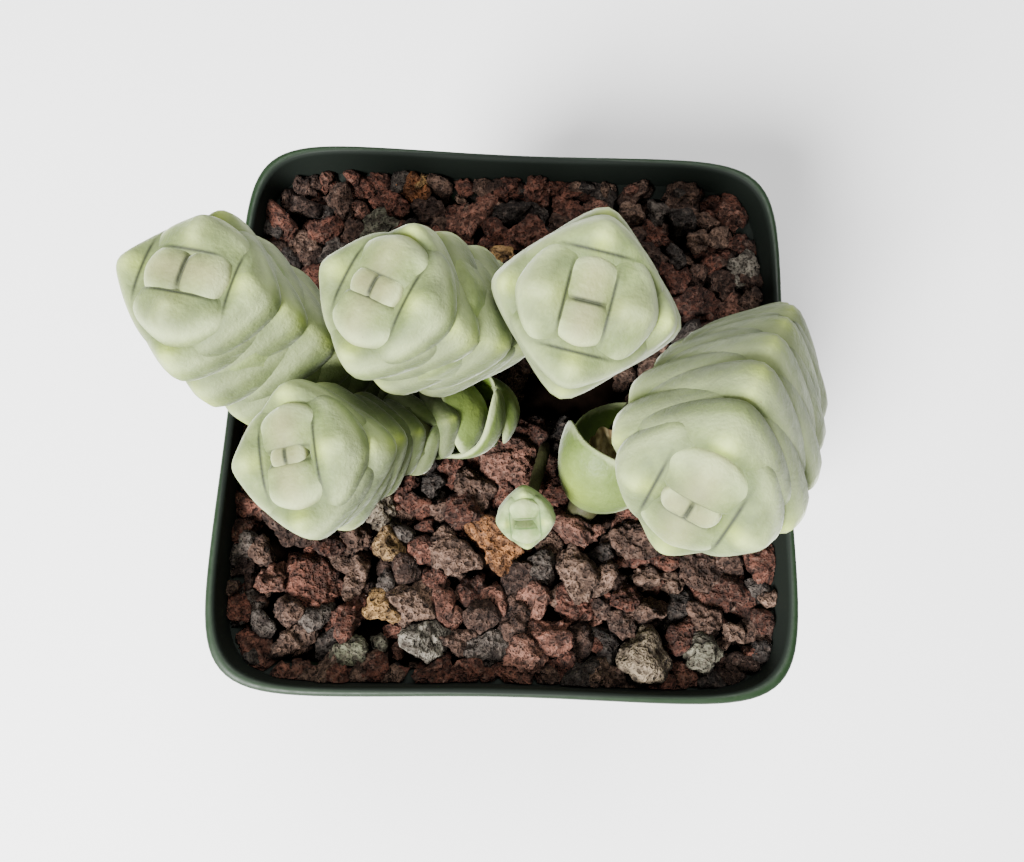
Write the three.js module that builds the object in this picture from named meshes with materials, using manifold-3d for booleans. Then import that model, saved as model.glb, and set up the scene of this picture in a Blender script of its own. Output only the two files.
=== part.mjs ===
// A potted Crassula plegmatoides: five leafy columns and one young offset in lava gravel, in a square pot.
// Millimetres, +Z up. The origin is the centre of the pot's underside, +Y is the back and +X the right.
import * as THREE from 'three';
import Module from 'manifold-3d';
import { mergeVertices } from 'three/addons/utils/BufferGeometryUtils.js';

const wasm = await Module();
wasm.setup();

// Driving dimensions of the pot
const POT_HEIGHT = 84;
const RIM_HALF_WIDTH = 44.5;
const RIM_BAND_HEIGHT = 9;
const RIM_BAND_STEP = 2.2;
const LIP_THICKNESS = 1.5;
const WALL = 1.3;
const FLOOR_THICKNESS = 1.6;
const BASE_HALF_WIDTH = 31;
const SIDE_BOW = 0.65;
const CORNER_SQUARENESS = 8.4;
const DRAIN_RADIUS = 3.5;
const DRAIN_PLACE = 20;
const DRAIN_SIDES = 10;
const POT_FACETS = 36;
const FILL_FACETS = 24;
const CORNER_CROWDING = 0.12;

// Driving dimensions of what fills it
const FIT_GAP = 0.35;
const WALL_GAP = 0.6;
const MIX_TOP = 69;
const GRAVEL_BED_TOP = 75.8;
const GRAVEL_HALF_REACH = 42.4;
const STONE_ROWS = 8;
const STONE_SIZE = 8.6;

// Driving dimensions of the plant. A leaf's age counts the pairs from its stem's tip
const LEAF_REACH = 12.1;
const REACH_PACE = 1.71;
const CHORD_SHARE = 0.95;
const CHORD_PACE = 2.65;
const CHORD_POWER = 1.4;
const NODE_SPACING = 3.5;
const SPACING_START = 3.3;
const SPACING_PACE = 0.7;
const LEAF_HEIGHT = 9.4;
const YOUNGEST_HEIGHT = 4.2;
const HEIGHT_PACE = 1.9;
const MATURING_PACE = 2.2;
const ROOTING_PACE = 2.6;
const ROOTING_POWER = 2.5;
const STOUTNESS_PACE = 3;
const STEM_RADIUS = 2.2;
const STEM_FOOT_HEIGHT = 60;

// Ages from which a leaf is drawn with fewer facets
const FULL_AGE = 3.1;
const OLD_AGE = 4.5;

const COLOURS = {
  pot: 0x17422a,
  mix: 0x2b211b,
  gravel: 0x6b4238,
  leaf: 0xb5c3a0,
  youngLeaf: 0xc6d6ac,
};

function material(colour, roughness) {
  return new THREE.MeshStandardMaterial({ color: colour, roughness, metalness: 0 });
}

function toSolid(geometry) {
  const plain = geometry.index ? geometry.toNonIndexed() : geometry.clone();
  plain.deleteAttribute('normal');
  plain.deleteAttribute('uv');
  const merged = mergeVertices(plain, 1e-4);
  return new wasm.Manifold(new wasm.Mesh({
    numProp: 3,
    vertProperties: new Float32Array(merged.attributes.position.array),
    triVerts: new Uint32Array(merged.index.array),
  }));
}

function joinAll(solids) {
  let joined = solids;
  while (joined.length > 1) {
    const next = [];
    for (let i = 0; i < joined.length; i += 2) {
      next.push(i + 1 < joined.length ? joined[i].add(joined[i + 1]) : joined[i]);
    }
    joined = next;
  }
  return joined[0];
}

// The largest body of a solid: sealed hollows are filled and loose scraps dropped
function mainBody(solid) {
  const bodies = solid.decompose();
  return bodies.reduce((best, body) => (body.volume() > best.volume() ? body : best));
}

function toMesh(name, solid, colour, roughness) {
  const { vertProperties, triVerts } = solid.getMesh();
  const geometry = new THREE.BufferGeometry();
  geometry.setAttribute('position', new THREE.BufferAttribute(new Float32Array(vertProperties), 3));
  geometry.setIndex(new THREE.BufferAttribute(new Uint32Array(triVerts), 1));
  geometry.computeVertexNormals();
  const mesh = new THREE.Mesh(geometry, material(colour, roughness));
  mesh.name = name;
  return mesh;
}

function reshape(geometry, place) {
  const position = geometry.attributes.position;
  const point = new THREE.Vector3();
  for (let i = 0; i < position.count; i += 1) {
    point.fromBufferAttribute(position, i);
    const moved = place(point);
    position.setXYZ(i, moved.x, moved.y, moved.z);
  }
  return geometry;
}

// A square section with round corners and sides that bow in a little
function squareRadius(angle, halfWidth, bow) {
  const c = Math.abs(Math.cos(angle));
  const s = Math.abs(Math.sin(angle));
  const square = halfWidth / (c ** CORNER_SQUARENESS + s ** CORNER_SQUARENESS) ** (1 / CORNER_SQUARENESS);
  return square - bow * Math.cos(2 * angle) ** 2;
}

// A lathe turning of a profile of [half width, height] pairs, squared
function squaredLathe(profile, facets) {
  const points = profile.map(([halfWidth, height]) => new THREE.Vector2(halfWidth, height));
  const turned = new THREE.LatheGeometry(points, facets);
  return reshape(turned, (p) => {
    const reach = Math.hypot(p.x, p.z);
    const turn = Math.atan2(p.z, p.x);
    const angle = -(turn + CORNER_CROWDING * Math.sin(4 * turn));
    const bow = SIDE_BOW * Math.min(1, reach / RIM_HALF_WIDTH) ** 4;
    const radius = reach < 1e-6 ? 0 : squareRadius(angle, reach, bow);
    return new THREE.Vector3(radius * Math.cos(angle), radius * Math.sin(angle), p.y);
  });
}

const BAND_BOTTOM = POT_HEIGHT - RIM_BAND_HEIGHT;
const BAND_LEDGE = BAND_BOTTOM + WALL;
const LEDGE_RISE = 1;
const BASE_EASING = 1;
const SHOULDER_HALF_WIDTH = RIM_HALF_WIDTH - RIM_BAND_STEP;
const RIM_INNER_HALF_WIDTH = RIM_HALF_WIDTH - LIP_THICKNESS;

// Half width of the wall's inner face at a height
function innerHalfWidth(height) {
  const rise = (height - FLOOR_THICKNESS) / (BAND_BOTTOM - FLOOR_THICKNESS);
  return BASE_HALF_WIDTH - WALL + (SHOULDER_HALF_WIDTH - BASE_HALF_WIDTH) * rise;
}

function makePot() {
  const edge = LIP_THICKNESS / 5;
  const profile = [
    [0, 0],
    [BASE_HALF_WIDTH - BASE_EASING, 0],
    [BASE_HALF_WIDTH, BASE_EASING],
    [SHOULDER_HALF_WIDTH, BAND_BOTTOM],
    [RIM_HALF_WIDTH - 2 * edge, BAND_BOTTOM + 2 * edge],
    [RIM_HALF_WIDTH - edge, POT_HEIGHT - 5 * edge],
    [RIM_HALF_WIDTH, POT_HEIGHT - 3 * edge],
    [RIM_HALF_WIDTH - edge, POT_HEIGHT - edge / 2],
    [RIM_HALF_WIDTH - 3 * edge, POT_HEIGHT],
    [RIM_INNER_HALF_WIDTH, POT_HEIGHT - 2 * edge],
    [RIM_INNER_HALF_WIDTH, BAND_LEDGE + LEDGE_RISE],
    [innerHalfWidth(BAND_BOTTOM), BAND_LEDGE],
    [innerHalfWidth(FLOOR_THICKNESS), FLOOR_THICKNESS + BASE_EASING],
    [innerHalfWidth(FLOOR_THICKNESS) - BASE_EASING, FLOOR_THICKNESS],
    [0, FLOOR_THICKNESS],
  ];
  let pot = toSolid(squaredLathe(profile, POT_FACETS));
  for (const [x, y] of [[1, 0], [-1, 0], [0, 1], [0, -1], [1, 1], [1, -1], [-1, 1], [-1, -1]]) {
    const drain = new THREE.CylinderGeometry(DRAIN_RADIUS, DRAIN_RADIUS, 4 * FLOOR_THICKNESS, DRAIN_SIDES);
    drain.rotateX(Math.PI / 2);
    drain.translate(x * DRAIN_PLACE, y * DRAIN_PLACE, 0);
    pot = pot.subtract(toSolid(drain));
  }
  return pot;
}

// A stem's curve from its tip down to its foot, with frames carried along without twist
class StemCurve {
  constructor(route) {
    const points = route.map(([x, y, z]) => new THREE.Vector3(x, y, z));
    const line = new THREE.CatmullRomCurve3(points, false, 'catmullrom', 0.5);
    const n = 160;
    this.samples = n;
    this.places = Array.from({ length: n + 1 }, (_, i) => line.getPoint(i / n));
    this.ways = [0];
    this.ups = [];
    this.sides = [];
    for (let i = 1; i <= n; i += 1) {
      this.ways.push(this.ways[i - 1] + this.places[i].distanceTo(this.places[i - 1]));
    }
    let side = new THREE.Vector3(0, 1, 0);
    for (let i = 0; i <= n; i += 1) {
      const before = this.places[Math.max(i - 1, 0)];
      const after = this.places[Math.min(i + 1, n)];
      const up = before.clone().sub(after).normalize();
      side = side.clone().addScaledVector(up, -side.dot(up)).normalize();
      this.ups.push(up);
      this.sides.push(side);
    }
    this.length = this.ways[n];
  }

  // Past the foot the curve runs straight on
  frameAt(way) {
    const n = this.samples;
    if (way > this.length) {
      const place = this.places[n].clone().addScaledVector(this.ups[n], this.length - way);
      return { place, up: this.ups[n].clone(), side: this.sides[n].clone() };
    }
    let i = this.ways.findIndex((w) => w >= way);
    i = i < 0 ? n : Math.max(i, 1);
    const f = (way - this.ways[i - 1]) / (this.ways[i] - this.ways[i - 1]);
    return {
      place: this.places[i - 1].clone().lerp(this.places[i], f),
      up: this.ups[i - 1].clone().lerp(this.ups[i], f).normalize(),
      side: this.sides[i - 1].clone().lerp(this.sides[i], f).normalize(),
    };
  }
}

// Growth rules: how far a pair of leaves reaches, where its two leaves meet, how far it lies below the tip,
// how tall its leaves are and how far they have taken their grown shape
const leafHeight = (age) => LEAF_HEIGHT - (LEAF_HEIGHT - YOUNGEST_HEIGHT) * Math.exp(-(age - 1) / HEIGHT_PACE);
const maturity = (age) => 1 - Math.exp(-((Math.max(age - 1, 0) / MATURING_PACE) ** 2));
const rootedness = (age) => 1 - Math.exp(-((Math.max(age - 1, 0) / ROOTING_PACE) ** ROOTING_POWER));

// How stout a stem's grown leaves are beside the usual ones
function stoutness(age, girth) {
  return 1 + (girth - 1) * (1 - Math.exp(-((Math.max(age, 0) / STOUTNESS_PACE) ** 2)));
}

function leafReach(age, girth) {
  return stoutness(age, girth) * LEAF_REACH * (1 - Math.exp(-Math.max(age, 0.15) / REACH_PACE));
}

function leafChord(age, girth) {
  const grown = 1 - Math.exp(-((Math.max(age - 1, 0) / CHORD_PACE) ** CHORD_POWER));
  return stoutness(age, girth) * CHORD_SHARE * LEAF_REACH * grown;
}

function pairDepth(age) {
  return NODE_SPACING * SPACING_PACE * Math.log(1 + Math.exp((age - SPACING_START) / SPACING_PACE));
}

// The shape of a leaf just out, and of a grown one
const YOUNG_LEAF = {
  planPower: 4.2,
  outerBow: 0.35,
  innerBow: 0,
  rootDepth: 0,
  underhang: 2.5,
  ridge: 0.35,
  tuckUnder: 0.4,
  sideFall: 0.2,
};
const GROWN_LEAF = {
  planPower: 2.6,
  outerBow: 0.97,
  innerBow: 0.72,
  rootDepth: 3.5,
  underhang: 7,
  ridge: 0.45,
  tuckUnder: 1.8,
  sideFall: 1.5,
};
const SIDE_POWER = 2.5;
const SIDE_FALL_POWER = 1.6;
const KEEL_SHARE = 0.13;
const KEEL_LEAST = 0.25;
const WIDTH_SHARE = 0.86;
const WIDTH_OVERLAP = 0.9;

function leafShape(age) {
  const old = maturity(age);
  const shape = {};
  for (const [trait, young] of Object.entries(YOUNG_LEAF)) {
    shape[trait] = THREE.MathUtils.lerp(young, GROWN_LEAF[trait], old);
  }
  shape.rootDepth = THREE.MathUtils.lerp(YOUNG_LEAF.rootDepth, GROWN_LEAF.rootDepth, rootedness(age));
  return shape;
}

// A cube's point drawn in to a rounded block: square in plan by one power, round from the side by another
function roundedBlock(q, planPower, sidePower, [across, along, through]) {
  const plan = (Math.abs(q[across]) ** planPower + Math.abs(q[along]) ** planPower) ** (sidePower / planPower);
  return q.clone().divideScalar((plan + Math.abs(q[through]) ** sidePower) ** (1 / sidePower));
}

// A cube's point carried to a plump shield-shaped leaf: x outward, y across, z towards the stem's tip
function shieldLeafPoint(q, age, girth) {
  const shape = leafShape(age);
  const p = roundedBlock(q, shape.planPower, SIDE_POWER, ['x', 'y', 'z']);
  const reach = leafReach(age, girth);
  const halfWidth = Math.min(leafChord(age + 1, girth) + WIDTH_OVERLAP, WIDTH_SHARE * reach);
  const keel = KEEL_SHARE * reach + KEEL_LEAST;
  const y = halfWidth * p.y;
  const bow = Math.hypot(y, keel) - keel;
  const fromTop = (1 - p.z) / 2;
  const outer = reach - shape.outerBow * bow;
  const inner = leafChord(age, girth) - shape.innerBow * bow - shape.rootDepth - shape.underhang * fromTop;
  const middle = THREE.MathUtils.lerp(inner, outer, shape.ridge);
  const low = Math.max(0, 2 * fromTop - 1);
  const x = middle + (p.x > 0 ? outer - middle : middle - inner) * p.x - shape.tuckUnder * low * low;
  const fall = shape.sideFall * Math.abs(p.y) ** SIDE_FALL_POWER;
  return new THREE.Vector3(x, y, -leafHeight(age) * fromTop - fall);
}

const BLADE_OUTLINE_POWER = 2.6;
const BLADE_EDGE_POWER = 3;

// A cube's point carried to an open, cupped leaf: an arched round blade, joined to the stem at its foot
function openLeafPoint(q, leaf, swell) {
  const p = roundedBlock(q, BLADE_OUTLINE_POWER, BLADE_EDGE_POWER, ['y', 'z', 'x']);
  const start = THREE.MathUtils.degToRad(leaf.from);
  const sweep = THREE.MathUtils.degToRad(leaf.to - leaf.from);
  const curl = leaf.length / sweep;
  const length = leaf.length * (1 - leaf.dip * (1 - p.y * p.y));
  const turn = start + ((length / 2 + swell) * p.z + length / 2) / curl;
  const y = (leaf.width / 2 + swell) * p.y;
  const proud = (leaf.thickness / 2 + swell) * p.x - (y * y) / (2 * leaf.cup);
  return new THREE.Vector3(
    leaf.foot + curl * (Math.cos(turn) - Math.cos(start)) + proud * Math.cos(turn),
    y,
    curl * (Math.sin(turn) - Math.sin(start)) + proud * Math.sin(turn),
  );
}

function placeOnStem(curve, way, phaseDegrees, size) {
  const { place, up, side } = curve.frameAt(way);
  const angle = THREE.MathUtils.degToRad(phaseDegrees);
  const across = up.clone().cross(side);
  const out = side.clone().multiplyScalar(Math.cos(angle)).addScaledVector(across, Math.sin(angle));
  const lateral = up.clone().cross(out);
  return (p) => place.clone()
    .addScaledVector(out, p.x * size)
    .addScaledVector(lateral, p.y * size)
    .addScaledVector(up, p.z * size);
}

function pairWay(stem, age) {
  return (pairDepth(age) - pairDepth(stem.stage)) * stem.size;
}

// How much smaller a stem is at its first, lowest leaves
function sizeAt(stem, way) {
  const [from, to, smallest] = stem.shrink;
  const down = THREE.MathUtils.smoothstep(way, pairWay(stem, from), pairWay(stem, to));
  return stem.size * THREE.MathUtils.lerp(1, smallest, down);
}

// Facets of a leaf outward, across and upward: the youngest show most
function leafGrid(age) {
  if (age < FULL_AGE) return [1, 4, 2];
  return age < OLD_AGE ? [1, 2, 2] : [1, 2, 1];
}

function makeShieldLeaves(stem, curve, swell) {
  const leaves = [];
  for (let i = 0; i < stem.pairs; i += 1) {
    const age = stem.stage + i;
    const way = pairWay(stem, age);
    const size = sizeAt(stem, way);
    for (const turn of [0, 180]) {
      const place = placeOnStem(curve, way, stem.phase + 90 * i + turn, size);
      const leaf = new THREE.BoxGeometry(2, 2, 2, ...leafGrid(age));
      leaves.push(toSolid(reshape(leaf, (q) => {
        return place(shieldLeafPoint(q, age, stem.girth).addScaledVector(q, swell / size));
      })));
    }
  }
  return leaves;
}

function makeOpenLeaves(stem, curve, swell) {
  return stem.open.map((leaf) => {
    const place = placeOnStem(curve, leaf.way, leaf.phase, 1);
    const blade = new THREE.BoxGeometry(2, 2, 2, 1, 4, 2);
    return toSolid(reshape(blade, (q) => place(openLeafPoint(q, leaf, swell))));
  });
}

const CORE_SIDES = 6;
const CORE_STEPS = 13;
const CORE_TIP_SHARE = 0.35;
const CORE_WIDENING = 8;
const BARE_FROM = -2;
const BARE_TO = 5;

// The stem itself, fat where leaves clothe it and bare at its foot
function makeStemCore(stem, curve, swell) {
  const leafyEnd = pairWay(stem, stem.stage + stem.pairs - 1);
  const tube = new THREE.CylinderGeometry(1, 1, 1, CORE_SIDES, CORE_STEPS);
  return toSolid(reshape(tube, (p) => {
    const way = stem.coreStart + (0.5 - p.y) * (curve.length + swell - stem.coreStart);
    const { place, up, side } = curve.frameAt(way);
    const across = up.clone().cross(side);
    const bare = THREE.MathUtils.smoothstep(way, leafyEnd + BARE_FROM, leafyEnd + BARE_TO);
    const widened = Math.min(1, CORE_TIP_SHARE + (way - stem.coreStart) / (CORE_WIDENING * stem.size));
    const leafy = stem.coreRadius * widened * sizeAt(stem, way);
    const radius = THREE.MathUtils.lerp(leafy, stem.footRadius, bare) + swell;
    return place
      .addScaledVector(side, p.x * radius)
      .addScaledVector(across, -p.z * radius);
  }));
}

function makeStem(stem, swell = 0) {
  const curve = new StemCurve(stem.route);
  return mainBody(joinAll([
    makeStemCore(stem, curve, swell),
    ...makeShieldLeaves(stem, curve, swell),
    ...makeOpenLeaves(stem, curve, swell),
  ]));
}

const STEM_DEFAULTS = {
  size: 1,
  girth: 1,
  shrink: [50, 60, 1],
  open: [],
  coreStart: 5,
  coreRadius: 9,
  footRadius: STEM_RADIUS,
};

// A pair of open leaves facing each other across the stem
function openPair(way, phase, leaf) {
  return [{ ...leaf, way, phase }, { ...leaf, way, phase: phase + 180 }];
}

// Open leaves: dip is the share of its length that the top margin's middle lies below its ends
const CUP_LEAF = { length: 21, width: 16.5, thickness: 1.6, foot: 0, cup: 5.2, dip: 0.17, from: -80, to: 22 };
const HOOD_LEAF = { length: 20, width: 16.5, thickness: 1.6, foot: 0, cup: 6.2, dip: 0, from: -80, to: 15 };
const BOWL_LEAF = { length: 14, width: 14.5, thickness: 1.6, foot: 0.3, cup: 5.5, dip: 0.2, from: -80, to: 25 };
const SHELL_LEAF = { length: 12.5, width: 12.5, thickness: 1.6, foot: 0.3, cup: 5.5, dip: 0, from: -75, to: 35 };
const LOW_LEAF = { length: 11, width: 11, thickness: 1.6, foot: 0.3, cup: 5, dip: 0, from: -70, to: 35 };

// Each stem's curve runs from its tip to its foot
const STEMS = {
  leafy_stem_left: {
    route: [[-39.2, 5.6, 118.5], [-37.8, 4.9, 110], [-33.2, 3.4, 99], [-25, 2.6, 90.5], [-15.5, 2, 81],
      [-9, 2, STEM_FOOT_HEIGHT]],
    phase: 78,
    stage: 1.05,
    pairs: 13,
    girth: 1.04,
    shrink: [7, 13, 0.7],
  },
  leafy_stem_rear_left: {
    route: [[-17.2, 4.3, 119], [-14.6, 4.6, 112], [-8.6, 6.2, 103], [-4, 9.5, 94], [-1.5, 12, 84],
      [-1, 13, STEM_FOOT_HEIGHT]],
    phase: 63,
    stage: 0.6,
    pairs: 12,
    girth: 0.98,
    shrink: [6, 12, 0.72],
  },
  leafy_stem_rear_middle: {
    route: [[7.5, 2.8, 120], [8.3, 6.1, 111], [11, 10.4, 100], [14, 14.9, 89], [15, 18, 78],
      [15, 19, STEM_FOOT_HEIGHT]],
    phase: -13.5,
    stage: 1,
    pairs: 11,
    girth: 1.12,
    shrink: [6, 11, 0.72],
  },
  leafy_stem_front_left: {
    route: [[-27.7, -14.3, 110], [-24.7, -12.9, 102.5], [-17.7, -8.8, 95], [-8.5, -3.2, 87.5], [-1.5, -0.5, 79],
      [1, 1, STEM_FOOT_HEIGHT]],
    phase: 98,
    stage: 0.4,
    pairs: 11,
    girth: 1.02,
    shrink: [3, 9, 0.54],
    open: [
      ...openPair(37, 282, SHELL_LEAF),
      ...openPair(39.5, 217, BOWL_LEAF),
      ...openPair(43.5, 287, LOW_LEAF),
    ],
  },
  leafy_stem_right: {
    route: [[17.9, -21.3, 122], [25.3, -9.1, 112.7], [32, 0.4, 104.2], [33.9, 4.6, 96], [27, 3, 89.5],
      [18.7, -2.6, 88], [14.1, -11.6, 81.5], [11.1, -17.1, 75.5], [10, -19, STEM_FOOT_HEIGHT]],
    phase: 48.3,
    stage: 0.55,
    pairs: 17,
    girth: 1.08,
    shrink: [5, 16, 0.64],
    open: [
      { ...CUP_LEAF, way: 77.5, phase: 66 },
      { ...HOOD_LEAF, way: 76.5, phase: 262 },
    ],
  },
  young_offset: {
    route: [[2.3, -19.6, 92], [2.8, -16.7, 87], [4.4, -11.5, 82], [6, -5.5, 77.5], [6.5, -3, STEM_FOOT_HEIGHT]],
    phase: 0,
    stage: 1,
    pairs: 3,
    size: 0.5,
    coreStart: 1.5,
    coreRadius: 4,
    footRadius: 0.9,
  },
};

const stems = Object.entries(STEMS).map(([name, stem]) => ({ name, stem: { ...STEM_DEFAULTS, ...stem } }));

// The space each stem needs in what it stands in
const stemRoom = stems.map(({ stem }) => makeStem(stem, FIT_GAP));

function clearOfStems(solid) {
  return mainBody(stemRoom.reduce((left, room) => left.subtract(room), solid));
}

function makePottingMix() {
  const bottom = FLOOR_THICKNESS + FIT_GAP;
  const profile = [
    [0, bottom],
    [innerHalfWidth(bottom) - WALL_GAP - BASE_EASING, bottom],
    [innerHalfWidth(bottom + 2 * BASE_EASING) - WALL_GAP, bottom + 2 * BASE_EASING],
    [innerHalfWidth(MIX_TOP) - WALL_GAP, MIX_TOP],
    [0, MIX_TOP],
  ];
  return clearOfStems(toSolid(squaredLathe(profile, FILL_FACETS)));
}

// A repeatable stream of numbers from 0 to 1
function makeDraw(seed) {
  let state = seed;
  return () => {
    state = (Math.imul(state, 1664525) + 1013904223) >>> 0;
    return state / 4294967296;
  };
}

// A block with each corner drawn in or out by its own amount
function makeStone(draw) {
  const between = (low, high) => low + (high - low) * draw();
  const corners = Array.from({ length: 8 }, () => between(0.72, 1.22));
  const stone = new THREE.BoxGeometry(
    STONE_SIZE * between(0.75, 1.2),
    STONE_SIZE * between(0.65, 1),
    STONE_SIZE * between(0.6, 0.9),
  );
  reshape(stone, (p) => {
    const corner = (p.x > 0 ? 1 : 0) + (p.y > 0 ? 2 : 0) + (p.z > 0 ? 4 : 0);
    return p.clone().multiplyScalar(corners[corner]);
  });
  stone.rotateX(Math.PI * draw());
  stone.rotateY(Math.PI * draw());
  stone.rotateZ(Math.PI * draw());
  return stone;
}

const STONE_SINK = 0.55;
const STONE_JITTER = 0.3;

// Stones on a jittered grid over a bed, up to the pot's wall
function makeGravel() {
  const draw = makeDraw(71);
  const bottom = MIX_TOP + FIT_GAP;
  const below = [
    [0, bottom],
    [innerHalfWidth(bottom) - WALL_GAP, bottom],
    [innerHalfWidth(BAND_BOTTOM) - WALL_GAP, BAND_BOTTOM],
  ];
  const bed = squaredLathe([
    ...below,
    [innerHalfWidth(BAND_BOTTOM) - WALL_GAP, GRAVEL_BED_TOP],
    [0, GRAVEL_BED_TOP],
  ], FILL_FACETS);
  const room = squaredLathe([
    ...below,
    [innerHalfWidth(BAND_BOTTOM) - WALL_GAP, BAND_LEDGE],
    [RIM_INNER_HALF_WIDTH - WALL_GAP, BAND_LEDGE + LEDGE_RISE + FIT_GAP],
    [RIM_INNER_HALF_WIDTH - WALL_GAP, POT_HEIGHT],
    [0, POT_HEIGHT],
  ], FILL_FACETS);
  const farthest = GRAVEL_HALF_REACH - STONE_SIZE / 2;
  const step = (2 * farthest) / (STONE_ROWS - 1);
  const pieces = [toSolid(bed)];
  for (let row = 0; row < STONE_ROWS; row += 1) {
    for (let column = 0; column < STONE_ROWS; column += 1) {
      const stone = makeStone(draw);
      const x = -farthest + column * step;
      const y = -farthest + row * step;
      const limit = squareRadius(Math.atan2(y, x), farthest, 0);
      const pull = Math.min(1, limit / Math.max(1, Math.hypot(x, y)));
      const atWall = (Math.max(Math.abs(x), Math.abs(y)) / farthest) ** 6;
      const loose = 2 * STONE_JITTER * step * (1 - atWall);
      const height = GRAVEL_BED_TOP + STONE_SINK * draw();
      stone.translate(pull * x + loose * (draw() - 0.5), pull * y + loose * (draw() - 0.5), height);
      pieces.push(toSolid(stone));
    }
  }
  return clearOfStems(joinAll(pieces).intersect(toSolid(room)));
}

// Leaves that would press into a stem made before theirs are flattened against it
function clearOfEarlier(solid, index) {
  return mainBody(stemRoom.slice(0, index).reduce((left, room) => left.subtract(room), solid));
}

const plant = new THREE.Group();
stems.forEach(({ name, stem }, index) => {
  const colour = name === 'young_offset' ? COLOURS.youngLeaf : COLOURS.leaf;
  plant.add(toMesh(name, clearOfEarlier(makeStem(stem), index), colour, 0.75));
});

const group = new THREE.Group();
group.add(toMesh('pot', makePot(), COLOURS.pot, 0.45));
group.add(toMesh('potting_mix', makePottingMix(), COLOURS.mix, 0.95));
group.add(toMesh('lava_gravel', makeGravel(), COLOURS.gravel, 0.95));
group.add(plant);

export default group;
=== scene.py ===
# A potted Crassula plegmatoides: five leafy columns and one young offset in lava gravel, in a square pot.
# Shapes and the camera are measured in millimetres and written in metres; lamps and finishes are in metres
import math
import random

import bmesh
import bpy
import numpy as np
from mathutils import Euler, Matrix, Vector


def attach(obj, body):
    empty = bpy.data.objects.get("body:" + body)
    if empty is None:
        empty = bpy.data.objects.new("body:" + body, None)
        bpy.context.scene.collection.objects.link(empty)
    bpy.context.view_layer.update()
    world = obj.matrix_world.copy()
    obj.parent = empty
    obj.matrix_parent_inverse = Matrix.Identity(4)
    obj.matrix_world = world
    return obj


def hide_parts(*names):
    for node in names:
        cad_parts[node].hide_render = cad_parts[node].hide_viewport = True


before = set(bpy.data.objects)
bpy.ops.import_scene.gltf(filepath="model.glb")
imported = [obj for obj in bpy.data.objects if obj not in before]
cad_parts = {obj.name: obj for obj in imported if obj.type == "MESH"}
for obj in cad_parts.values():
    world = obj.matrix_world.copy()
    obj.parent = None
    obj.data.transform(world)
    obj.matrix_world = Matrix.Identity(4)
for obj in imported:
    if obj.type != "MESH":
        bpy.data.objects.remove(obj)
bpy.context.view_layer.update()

MM = 0.001

LEAF_CUTS = 11
YOUNG_LEAF_CUTS = 17
YOUNG_LEAF_AGE = 4.5
LEVEL_DROP = 0


# Camera, floor and light

CAMERA_PLACE = (-3.4, -32.4, 205.2)
CAMERA_TURN = (13, -2.1, 1.4)
CAMERA_LENS = 28.125
SENSOR_WIDTH = 36
CLIP_START = 0.01
FLOOR_RADIUS = 3000
SKY_STRENGTH = 0.2

# Each lamp: its place, what it shines at, its width and its power
LAMPS = {
    "soft_front": ((-0.38, -0.56, 0.68), (0, 0, 0.09), 0.34, 43),
    "soft_above": ((0.05, 0.4, 1.0), (0, 0, 0.08), 0.6, 11),
}


def make_camera():
    data = bpy.data.cameras.new("photo_camera")
    data.sensor_width = SENSOR_WIDTH
    data.lens = CAMERA_LENS
    data.clip_start = CLIP_START
    camera = bpy.data.objects.new("photo_camera", data)
    camera.location = Vector(CAMERA_PLACE) * MM
    camera.rotation_euler = Euler([math.radians(a) for a in CAMERA_TURN], "XYZ")
    bpy.context.scene.collection.objects.link(camera)
    bpy.context.scene.camera = camera


def make_object(name, bm, *materials, smooth=True):
    """A finished bmesh, in millimetres, as an object at the origin in metres."""
    bmesh.ops.scale(bm, vec=(MM, MM, MM), verts=bm.verts)
    mesh = bpy.data.meshes.new(name)
    bm.to_mesh(mesh)
    bm.free()
    for material in materials:
        mesh.materials.append(material)
    if smooth:
        mesh.shade_smooth()
    made = bpy.data.objects.new(name, mesh)
    bpy.context.scene.collection.objects.link(made)
    return made


def make_floor(material):
    bm = bmesh.new()
    bmesh.ops.create_circle(bm, cap_ends=True, segments=96, radius=FLOOR_RADIUS)
    make_object("studio_floor", bm, material, smooth=False)


def add_light(name, place, aim, size, power):
    data = bpy.data.lights.new(name, "AREA")
    data.shape = "DISK"
    data.size = size
    data.energy = power
    light = bpy.data.objects.new(name, data)
    light.location = place
    light.rotation_euler = (Vector(aim) - Vector(place)).to_track_quat("-Z", "Y").to_euler()
    bpy.context.scene.collection.objects.link(light)


def make_light():
    world = bpy.data.worlds.new("studio_white")
    world.use_nodes = True
    sky = world.node_tree.nodes["Background"]
    sky.inputs["Color"].default_value = (1, 1, 1, 1)
    sky.inputs["Strength"].default_value = SKY_STRENGTH
    bpy.context.scene.world = world
    for name, lamp in LAMPS.items():
        add_light(name, *lamp)


# Finishes

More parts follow.
